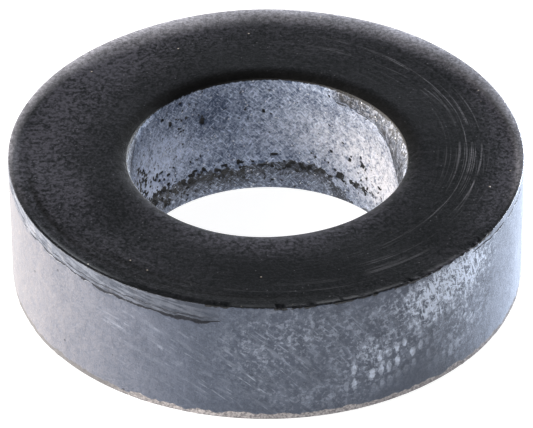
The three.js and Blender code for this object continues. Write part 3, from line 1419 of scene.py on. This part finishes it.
        if len(above) == len(below):
            return [picked(("top", 1, 0), ("foot", 1, 0), ("foot", 1, 1), ("top", 1, 1))]
        if len(above) < len(below):
            return [
                picked(("top", 1, 0), ("foot", 2, 0), ("foot", 2, 1)),
                picked(("top", 1, 0), ("foot", 2, 1), ("top", 1, 1)),
                picked(("top", 1, 1), ("foot", 2, 1), ("foot", 2, 2)),
            ]
        return [
            picked(("top", 2, 0), ("foot", 1, 0), ("top", 2, 1)),
            picked(("top", 2, 1), ("foot", 1, 0), ("foot", 1, 1)),
            picked(("top", 2, 1), ("foot", 1, 1), ("top", 2, 2)),
        ]

    def build(self) -> bpy.types.Object:
        """Builds the ring as one closed mesh, painted and dressed.

        Returns:
            The washer's object, linked to the scene.
        """
        grids = self.shaped()
        rings = [(grid, row) for grid in grids for row in range(grid.radius.shape[0])]
        points = np.concatenate([grid.places().reshape(-1, 3) for grid in grids]) * MM
        starts = np.cumsum([0] + [grid.radius.shape[1] for grid, _ in rings])
        numbers = [np.arange(starts[i], starts[i + 1]) for i in range(len(rings))]
        means = [(grid.radius[row].mean(), grid.height[row].mean()) for grid, row in rings]
        steps = [math.dist(means[i], means[(i + 1) % len(rings)]) for i in range(len(rings))]
        lengths = np.cumsum([0.0] + steps)
        faces: list[tuple[int, ...]] = []
        spots: list[np.ndarray] = []
        middles: list[np.ndarray] = []
        for i, (grid, _) in enumerate(rings):
            following = (i + 1) % len(rings)
            for strip in self.sewn(numbers[i], numbers[following], (lengths[i], lengths[i + 1])):
                faces.extend(map(tuple, strip.corners.tolist()))
                spots.append(strip.spots.reshape(-1, 2))
                middles.append(np.repeat(strip.spots[:, :, 0].mean(axis=1), strip.spots.shape[1]))
        mesh = bpy.data.meshes.new("washer")
        mesh.from_pydata(points.tolist(), [], faces)
        mesh.validate()
        mesh.shade_smooth()
        self.spread_map(mesh, np.concatenate(spots), np.concatenate(middles), rings, lengths)
        for name in self.paints:
            values = np.concatenate([grid.paint[name].ravel() for grid in grids])
            mesh.attributes.new(name, "FLOAT", "POINT").data.foreach_set("value", values)
        mesh.materials.append(self.rubber.material(self.sizes))
        return linked("washer", mesh)

    def spread_map(
        self, mesh: bpy.types.Mesh, spots: np.ndarray, middles: np.ndarray,
        rings: list[tuple[Grid, int]], lengths: np.ndarray,
    ) -> None:
        """Lays the surface out flat in strips, as a map.

        Args:
            mesh: The washer's mesh.
            spots: Every face corner's turn and section length.
            middles: The middle turn of every face corner's own face.
            rings: Each ring's stretch and row.
            lengths: Each ring's place along the section.
        """
        groups = ((Zone.FACE,), (Zone.RIM, Zone.WALL, Zone.FOOT), (Zone.BASE,),
                  (Zone.HEEL, Zone.BORE, Zone.MOUTH))
        wide = math.pi * self.sizes.outer
        map_places = np.zeros((len(spots), 2))
        lift = 0.0
        for group in groups:
            rows = [i for i, (grid, _) in enumerate(rings) if grid.zone in group]
            low, high = lengths[rows[0]], lengths[rows[-1] + 1]
            inside = (spots[:, 1] >= low) & (spots[:, 1] <= high)
            half = wide * (0.5 if Zone.BORE in group else 1.0)
            for side in (0.0, 180.0):
                mine = inside & (middles >= side) & (middles < side + 180.0)
                shift = half + self.seam_gap if Zone.BORE in group and side else 0.0
                map_places[mine, 0] = (spots[mine, 0] - side) / 180.0 * half + shift
                map_places[mine, 1] = spots[mine, 1] - low + lift
                if Zone.BORE not in group or side:
                    lift += high - low + self.seam_gap
        layer = mesh.uv_layers.new(name="OFBake")
        layer.data.foreach_set("uv", (map_places / max(lift, wide + self.seam_gap)).ravel())

    def place(self) -> bpy.types.Object:
        """Builds the ring and puts it in the CAD ring's place."""
        piece = self.build()
        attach(piece, BODY)
        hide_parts(NODE)
        return piece


# ---------------------------------------------------------------- the studio


@dataclass(frozen=True)
class Floor:
    """The plain pale floor, a glowing white table that lights the wall from below."""

    half_side: float = 1.3
    colour: Colour = (0.30, 0.30, 0.30)
    roughness: float = 0.8
    shine: float = 0.2
    glow: float = 0.95

    def build(self) -> bpy.types.Object:
        """Makes the floor under the washer."""
        signs = ((-1, -1), (1, -1), (1, 1), (-1, 1))
        corners = [(x * self.half_side, y * self.half_side, 0.0) for x, y in signs]
        mesh = bpy.data.meshes.new("floor")
        mesh.from_pydata(corners, [], [(0, 1, 2, 3)])
        made = bpy.data.materials.new("pale_floor")
        graph = Graph.emptied(made)
        links = {
            "Base Color": self.colour, "Roughness": self.roughness, "Specular IOR Level": self.shine,
            "Emission Color": (1.0, 1.0, 1.0), "Emission Strength": self.glow,
        }
        graph.show(graph.node("ShaderNodeBsdfPrincipled", {}, links), "ShaderNodeOutputMaterial")
        mesh.materials.append(made)
        floor = linked("floor", mesh)
        return floor


@dataclass(frozen=True)
class Softbox:
    """A soft rectangular light that faces the washer."""

    name: str
    place: tuple[float, float, float]
    wide: float
    tall: float
    power: float
    colour: Colour

    def build(self, target: Vector) -> None:
        """Hangs the light and turns it to the target."""
        light = bpy.data.lights.new(self.name, "AREA")
        light.shape = "RECTANGLE"
        light.size = self.wide
        light.size_y = self.tall
        light.energy = self.power
        light.color = self.colour
        hung = linked(self.name, light)
        hung.location = self.place
        toward = target - Vector(self.place)
        hung.rotation_euler = toward.to_track_quat("-Z", "Y").to_euler()
        hung.visible_camera = False


@dataclass(frozen=True)
class StudioSky:
    """The surround: white round the horizon behind, dimmer in front and dim overhead."""

    horizon: float = 1.0
    overhead: float = 0.10
    front: float = 0.40
    colour: Colour = (0.97, 0.98, 1.0)

    def build(self) -> None:
        """Sets the world."""
        world = bpy.data.worlds.new("studio")
        bpy.context.scene.world = world
        graph = Graph.emptied(world)
        direction = graph.node("ShaderNodeTexCoord", {}, {}, "Generated")
        height = graph.node("ShaderNodeSeparateXYZ", {}, {0: direction}, "Z")
        depth = graph.node("ShaderNodeSeparateXYZ", {}, {0: direction}, "Y")
        low = height.stepped(0.42, 0.10)
        behind = depth.stepped(-0.9, 0.2)
        top = height.stepped(1.05, 0.35)
        strength = low * (behind * (self.horizon - self.front) + self.front) + top * self.overhead
        links = {"Color": self.colour, "Strength": strength}
        graph.show(graph.node("ShaderNodeBackground", {}, links), "ShaderNodeOutputWorld")


@dataclass(frozen=True)
class StudioCamera:
    """A long lens looking down at the washer from the front.

    The distance and the aim are in millimetres; the nearest and furthest sight are in metres.
    """

    elevation: float = 35.79
    roll: float = -0.47
    distance: float = 535.5
    lens: float = 780.1
    film: float = 36.0
    nearest: float = 0.01
    furthest: float = 10.0
    aim_aside: float = -0.023
    aim_up: float = -0.110

    def build(self, middle: Vector) -> None:
        """Places the camera.

        Args:
            middle: The middle of the washer, in metres.
        """
        lens = bpy.data.cameras.new("camera")
        lens.lens = self.lens
        lens.sensor_width = self.film
        lens.clip_start = self.nearest
        lens.clip_end = self.furthest
        camera = linked("camera", lens)
        rise = math.radians(self.elevation)
        lean = math.radians(self.roll)
        back = Vector((0.0, -math.cos(rise), math.sin(rise)))
        level_up = Vector((0.0, math.sin(rise), math.cos(rise)))
        right = math.cos(lean) * Vector((1.0, 0.0, 0.0)) + math.sin(lean) * level_up
        up = back.cross(right)
        target = middle + Vector((self.aim_aside, 0.0, self.aim_up)) * MM
        turned = Matrix((right, up, back)).transposed().to_4x4()
        camera.matrix_world = Matrix.Translation(target + back * self.distance * MM) @ turned
        bpy.context.scene.camera = camera


def write_sizes() -> None:
    """Brings the view layer up to date."""
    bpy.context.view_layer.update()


def main() -> None:
    """Builds the studio and the washer in order."""
    logging.basicConfig(level=logging.INFO, format="%(name)s: %(message)s")
    low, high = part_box(NODE)
    middle = (low + high) / 2.0
    StudioCamera().build(middle)
    LOG.info("camera in place")
    washer = WasherRing(RingSizes.measured(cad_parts[NODE])).place()
    mesh = washer.data
    LOG.info("%s: %d points, %d faces", washer.name, len(mesh.vertices), len(mesh.polygons))
    Floor().build()
    StudioSky().build()
    lights = (
        Softbox("left_softbox", (-0.32, -0.05, 0.20), 0.22, 0.16, 2.2, (1.0, 0.94, 0.87)),
        Softbox("left_low_softbox", (-0.35, 0.09, 0.035), 0.22, 0.055, 5.2, (1.0, 0.94, 0.87)),
        Softbox("right_low_softbox", (0.24, 0.28, 0.022), 0.20, 0.035, 6.1, (0.88, 0.93, 1.0)),
    )
    for light in lights:
        light.build(middle)
    LOG.info("floor, sky and %d softboxes in place", len(lights))
    bpy.context.scene.view_settings.view_transform = "Standard"
    write_sizes()


if __name__ == "__main__":
    main()
